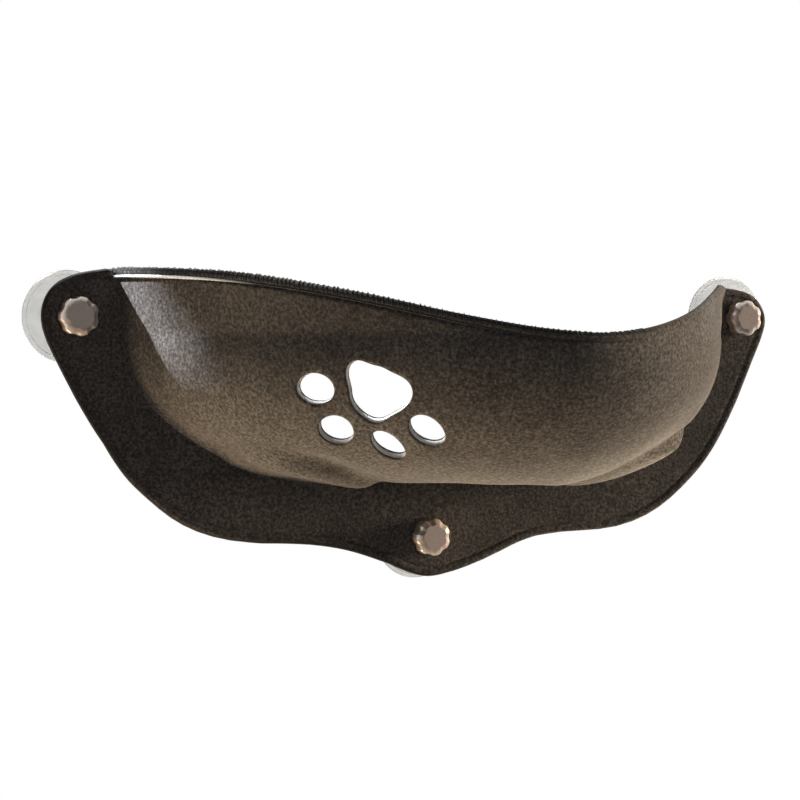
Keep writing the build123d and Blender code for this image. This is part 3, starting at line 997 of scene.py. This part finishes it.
def make_station(name, x, z, looks):
    """Suction cup, stud, washers, lobed knob and insert of one fixing."""
    pieces = (("clear_cup_", cup_shape(), "cup_", "clear_vinyl", "cup_"),
              ("threaded_stud_", stud_shape(), "cup_", "zinc_steel", "stud_"),
              ("rear_washer_", washer_shape(*REAR_WASHER), "cup_", "black_nylon", "back_washer_"),
              ("face_washer_", washer_shape(*FACE_WASHER), "washer_", "zinc_steel", "front_washer_"),
              ("lobed_knob_", knob_shape(), "nut_", "beige_plastic", "knob_"),
              ("brass_nut_", insert_shape(), "nut_", "brass_insert", "knob_insert_"))
    for piece, (points, faces), body, slot, node in pieces:
        obj = mesh_object(piece + name, points + (x, 0, z), faces)
        obj.data.set_sharp_from_angle(angle=SHARP_ANGLE)
        if slot == "beige_plastic":
            # The knob keeps the share of its bevelled ring that carries a painted highlight
            mark(obj, "bevel_highlight", bevel_highlight_share(points))
        put_down(obj, body + name, looks[slot], [node + name])


def new_material(name):
    """Material and its tree of nodes."""
    material = bpy.data.materials.new(name)
    material.use_nodes = True
    return material, material.node_tree


def plug(tree, node, inputs):
    """Fills a node's inputs with values or other nodes' sockets. A colour is
    given as three numbers."""
    for key, value in dict(inputs).items():
        socket = node.inputs[key]
        if isinstance(value, bpy.types.NodeSocket):
            tree.links.new(value, socket)
        elif socket.type == "RGBA":
            socket.default_value = (*value, 1)
        else:
            socket.default_value = value


def add_node(tree, kind, inputs=(), **settings):
    """Shader node with its settings and inputs."""
    node = tree.nodes.new(kind)
    for key, value in settings.items():
        setattr(node, key, value)
    plug(tree, node, inputs)
    return node


def noise(tree, scale, detail=2.0, stretch=(1, 1, 1), roughness=0.5):
    """Noise on object coordinates, finer along the stretched axes."""
    place = add_node(tree, "ShaderNodeTexCoord").outputs["Object"]
    place = add_node(tree, "ShaderNodeMapping", {"Vector": place, "Scale": stretch}).outputs[0]
    return add_node(tree, "ShaderNodeTexNoise", {"Vector": place, "Scale": scale, "Detail": detail,
                                                 "Roughness": roughness}).outputs[0]


def ramp(tree, value, *stops):
    """Colour ramp: (place, colour) stops."""
    node = add_node(tree, "ShaderNodeValToRGB", {"Fac": value})
    elements = node.color_ramp.elements
    while len(elements) < len(stops):
        elements.new(0.5)
    for element, (place, colour) in zip(elements, stops):
        element.position = place
        element.color = (*colour, 1)
    return node.outputs[0]


def mix(tree, share, a, b):
    """Mix of two colours: the inputs and the output of a mix node's colours
    have these numbers."""
    return add_node(tree, "ShaderNodeMix", {0: share, 6: a, 7: b}, data_type="RGBA").outputs[2]


def maths(tree, way, *values):
    """One sum of two or three values."""
    return add_node(tree, "ShaderNodeMath", enumerate(values), operation=way).outputs[0]


def attribute(tree, name):
    """Number kept on the mesh's points."""
    return add_node(tree, "ShaderNodeAttribute", attribute_name=name).outputs["Fac"]


def share_across(tree, ends, first=0.0, last=1.0):
    """Value that goes from the first to the last between two places along X."""
    place = add_node(tree, "ShaderNodeTexCoord").outputs["Object"]
    x = add_node(tree, "ShaderNodeSeparateXYZ", {"Vector": place}).outputs["X"]
    return add_node(tree, "ShaderNodeMapRange", {"Value": x, "From Min": ends[0], "From Max": ends[1],
                                                 "To Min": first, "To Max": last}).outputs[0]


def finish(material, colour, relief, inputs):
    """Gives the shader its colour, its relief (the height, how strong it is and
    how deep) and its other inputs."""
    tree = material.node_tree
    height, strength, depth = relief
    normal = add_node(tree, "ShaderNodeBump", {"Height": height, "Strength": strength,
                                               "Distance": depth}).outputs[0]
    plug(tree, tree.nodes["Principled BSDF"], {"Base Color": colour, "Normal": normal, **inputs})
    return material


def felt_colour(tree, dark, middle, light):
    """Heather of three wools: coarse specks over slow clouds."""
    specks = noise(tree, 400, roughness=0.6)
    clouds = maths(tree, "MULTIPLY", noise(tree, 40, 3.0), 0.15)
    value = maths(tree, "MULTIPLY_ADD", specks, 0.85, clouds)
    return ramp(tree, value, (0.36, dark), (0.5, middle), (0.64, light))


def outer_felt_material():
    """Heathered needle felt, charcoal to warm taupe, with a soft sheen, darker
    on the hem and darkest at its lip."""
    material, tree = new_material("heather_needle_felt")
    colour = felt_colour(tree, (0.052, 0.046, 0.042), (0.111, 0.098, 0.090), (0.207, 0.186, 0.172))
    edge = attribute(tree, "edge")
    fade = share_across(tree, HEM_END, HEM_SHADE, 0.0)
    hem = maths(tree, "MULTIPLY", maths(tree, "LESS_THAN", edge, HEM), fade)
    colour = mix(tree, hem, colour, (0.025, 0.024, 0.024))
    lip = maths(tree, "MULTIPLY", maths(tree, "LESS_THAN", edge, LIP),
                maths(tree, "MULTIPLY", fade, LIP_SHADE))
    colour = mix(tree, lip, colour, (0.012, 0.012, 0.012))
    fuzz = maths(tree, "MULTIPLY_ADD", noise(tree, 230), 1.2, noise(tree, 900))
    return finish(material, colour, (fuzz, 0.5, 0.0008), {
        "Roughness": 0.92, "Specular IOR Level": 0.15, "Sheen Weight": 0.10, "Sheen Roughness": 0.45,
        "Sheen Tint": (0.95, 0.9, 0.86)})


def lining_felt_material():
    """Lining felt inside the pod, a little greyer."""
    material, tree = new_material("lining_needle_felt")
    colour = felt_colour(tree, (0.02, 0.018, 0.017), (0.052, 0.046, 0.041), (0.13, 0.115, 0.1))
    return finish(material, colour, (noise(tree, 1300, 3.0), 0.5, 0.0006), {
        "Roughness": 0.95, "Specular IOR Level": 0.12, "Sheen Weight": 0.4, "Sheen Roughness": 0.5,
        "Sheen Tint": (0.92, 0.9, 0.88)})


def foam_material():
    """Light closed-cell foam, seen at the cut edges of the paw."""
    material, tree = new_material("light_closed_foam")
    cells = noise(tree, 1600)
    colour = ramp(tree, cells, (0.35, (0.74, 0.73, 0.71)), (0.65, (0.9, 0.89, 0.87)))
    return finish(material, colour, (cells, 0.3, 0.0003), {"Roughness": 0.85})


def vinyl_material():
    """Clear soft vinyl, faintly milky."""
    material, tree = new_material("clear_soft_vinyl")
    cloud = noise(tree, 90)
    colour = ramp(tree, cloud, (0.3, (0.72, 0.72, 0.71)), (0.7, (0.84, 0.84, 0.83)))
    return finish(material, colour, (cloud, 0.1, 0.0004), {
        "Roughness": 0.22, "IOR": 1.45, "Transmission Weight": 0.8})


def zinc_material():
    """Bright zinc plate with faint turning marks."""
    material, tree = new_material("zinc_plated_steel")
    marks = noise(tree, 300, stretch=(1, 12, 1))
    colour = ramp(tree, marks, (0.3, (0.5, 0.5, 0.49)), (0.7, (0.68, 0.68, 0.66)))
    return finish(material, colour, (marks, 0.08, 0.0002), {"Metallic": 1.0, "Roughness": 0.32})


def nylon_material():
    """Black moulded nylon."""
    material, tree = new_material("black_moulded_nylon")
    grain = noise(tree, 900)
    colour = ramp(tree, grain, (0.3, (0.014, 0.014, 0.015)), (0.7, (0.026, 0.026, 0.027)))
    return finish(material, colour, (grain, 0.15, 0.0002), {"Roughness": 0.5})


def knob_material():
    """Slightly milky satin plastic, warm grey-brown, with a highlight painted on its bevelled ring."""
    material, tree = new_material("milky_satin_plastic")
    grain = noise(tree, 500)
    colour = ramp(tree, grain, (0.35, (0.58, 0.465, 0.40)), (0.65, (0.66, 0.53, 0.465)))
    bevel_highlight = attribute(tree, "bevel_highlight")
    # Lighter colour and some metal on the bevelled ring: a painted highlight
    colour = mix(tree, bevel_highlight, colour, (0.9, 0.8, 0.72))
    return finish(material, colour, (grain, 0.1, 0.0002), {
        "Metallic": maths(tree, "MULTIPLY", bevel_highlight, 0.4), "Roughness": 0.3,
        "Subsurface Weight": 0.25, "Subsurface Scale": 0.004, "Coat Weight": 0.3,
        "Coat Roughness": 0.2})


def brass_material():
    """Plain machined brass."""
    material, tree = new_material("machined_brass")
    marks = noise(tree, 400, stretch=(1, 10, 1))
    colour = ramp(tree, marks, (0.3, (0.56, 0.38, 0.16)), (0.7, (0.72, 0.52, 0.24)))
    return finish(material, colour, (marks, 0.1, 0.0002), {"Metallic": 1.0, "Roughness": 0.3})


def chain_highlight_material():
    """Looper thread, pale, glossy and metallic at the left end as a painted highlight; dark further
    along.
    """
    material, tree = new_material("looper_thread_painted_highlight")
    share = share_across(tree, CHAIN_HIGHLIGHT_END)
    # Pale colour at the left end, with metal and gloss below: a painted highlight
    pale = ramp(tree, noise(tree, 900, 1.0), (0.3, (0.75, 0.75, 0.75)), (0.7, (0.9, 0.9, 0.9)))
    colour = mix(tree, share, pale, (0.03, 0.028, 0.027))
    return finish(material, colour, (noise(tree, 1500, 1.0), 0.1, 0.0001), {
        "Specular IOR Level": maths(tree, "MULTIPLY_ADD", share, -0.4, 0.5),
        "Metallic": maths(tree, "MULTIPLY_ADD", share, -0.6, 0.6), "Roughness": 0.35})


def thread_material():
    """Matt black polyester thread."""
    material, tree = new_material("hem_thread")
    twist = noise(tree, 1800, 1.0)
    colour = ramp(tree, twist, (0.3, (0.012, 0.012, 0.012)), (0.7, (0.035, 0.033, 0.03)))
    return finish(material, colour, (twist, 0.2, 0.0001), {"Roughness": 0.8, "Sheen Weight": 0.3})


def fixing_looks():
    """One material for each slot of the fixings."""
    return {"clear_vinyl": vinyl_material(), "zinc_steel": zinc_material(),
            "black_nylon": nylon_material(), "beige_plastic": knob_material(),
            "brass_insert": brass_material()}


def add_camera():
    """Camera of the photograph, level and a little to the left."""
    camera = bpy.data.cameras.new("photo_view")
    camera.sensor_width = SENSOR
    camera.lens = LENS_PIXELS / PHOTO * SENSOR
    obj = bpy.data.objects.new("photo_view", camera)
    obj.location = CAMERA_PLACE
    obj.rotation_euler = (math.pi / 2 + CAMERA_TILT, 0, -CAMERA_TURN)
    bpy.context.scene.collection.objects.link(obj)
    bpy.context.scene.camera = obj


def add_lamp(name, kind, target, towards, power, colour):
    """Lamp that stands in a direction from its target and shines back at it."""
    lamp = bpy.data.lights.new(name, kind)
    lamp.energy = power
    lamp.color = colour
    obj = bpy.data.objects.new(name, lamp)
    obj.rotation_euler = (-Vector(towards)).to_track_quat("-Z", "Y").to_euler()
    obj.location = Vector(target) + Vector(towards).normalized() * LAMP_DISTANCE
    bpy.context.scene.collection.objects.link(obj)
    return obj


def add_suns():
    """Distant lamps round the object."""
    for name, towards, power, spread, colour in SUNS:
        sun = add_lamp(name, "SUN", (0, 0, 0), towards, power, colour)
        sun.data.angle = math.radians(spread)


def add_spots():
    """Narrow lamps, each on one small part of a few pieces."""
    for name, target, towards, power, cone, colour, pieces in SPOTS:
        spot = add_lamp(name, "SPOT", target, towards, power, colour)
        spot.data.spot_size = math.radians(cone)
        spot.data.spot_blend = SPOT_BLEND
        spot.data.shadow_soft_size = SPOT_RADIUS
        lit = bpy.data.collections.new(name + "_pieces")
        for piece in pieces:
            lit.objects.link(bpy.data.objects[piece])
        spot.light_linking.receiver_collection = lit


def add_floor():
    """Plain pale floor under the object, white to the camera and clear from
    below. Lamps that stand below it shine through."""
    half = FLOOR_SIZE / 2
    corners = np.array([(-half, -half, FLOOR_LEVEL), (half, -half, FLOOR_LEVEL),
                        (half, half, FLOOR_LEVEL), (-half, half, FLOOR_LEVEL)])
    floor = mesh_object("floor", corners, [np.array([[0, 1, 2, 3]])], smooth=False)
    material, tree = new_material("pale_floor")
    grain = ramp(tree, noise(tree, 30), (0.3, (0.84, 0.84, 0.83)), (0.7, (0.86, 0.86, 0.85)))
    seen = add_node(tree, "ShaderNodeLightPath").outputs["Is Camera Ray"]
    behind = add_node(tree, "ShaderNodeNewGeometry").outputs["Backfacing"]
    plug(tree, tree.nodes["Principled BSDF"], {
        "Base Color": grain, "Emission Color": (1, 1, 1),
        "Emission Strength": maths(tree, "MULTIPLY", seen, FLOOR_GLOW),
        "Alpha": maths(tree, "SUBTRACT", 1, behind)})
    floor.data.materials.append(material)
    floor.visible_shadow = False
    floor.visible_diffuse = False


def add_world():
    """White to the camera and to mirrors and clear pieces, softer as a light."""
    world = bpy.data.worlds.new("white_studio")
    world.use_nodes = True
    bpy.context.scene.world = world
    tree = world.node_tree
    path = add_node(tree, "ShaderNodeLightPath").outputs
    seen = maths(tree, "MAXIMUM", path["Is Camera Ray"], path["Is Glossy Ray"])
    seen = maths(tree, "MAXIMUM", seen, path["Is Transmission Ray"])
    strength = maths(tree, "MULTIPLY_ADD", seen, 1 - WORLD_LIGHT, WORLD_LIGHT)
    plug(tree, tree.nodes["Background"], {"Color": (1, 1, 1), "Strength": strength})


bpy.context.scene.view_settings.view_transform = "Standard"
add_camera()
make_pod()
station_looks = fixing_looks()
for station in ("left", "right", "bottom"):
    low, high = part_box("cup_" + station)
    make_station(station, (low.x + high.x) / 2, (low.z + high.z) / 2, station_looks)
add_floor()
add_world()
add_suns()
add_spots()
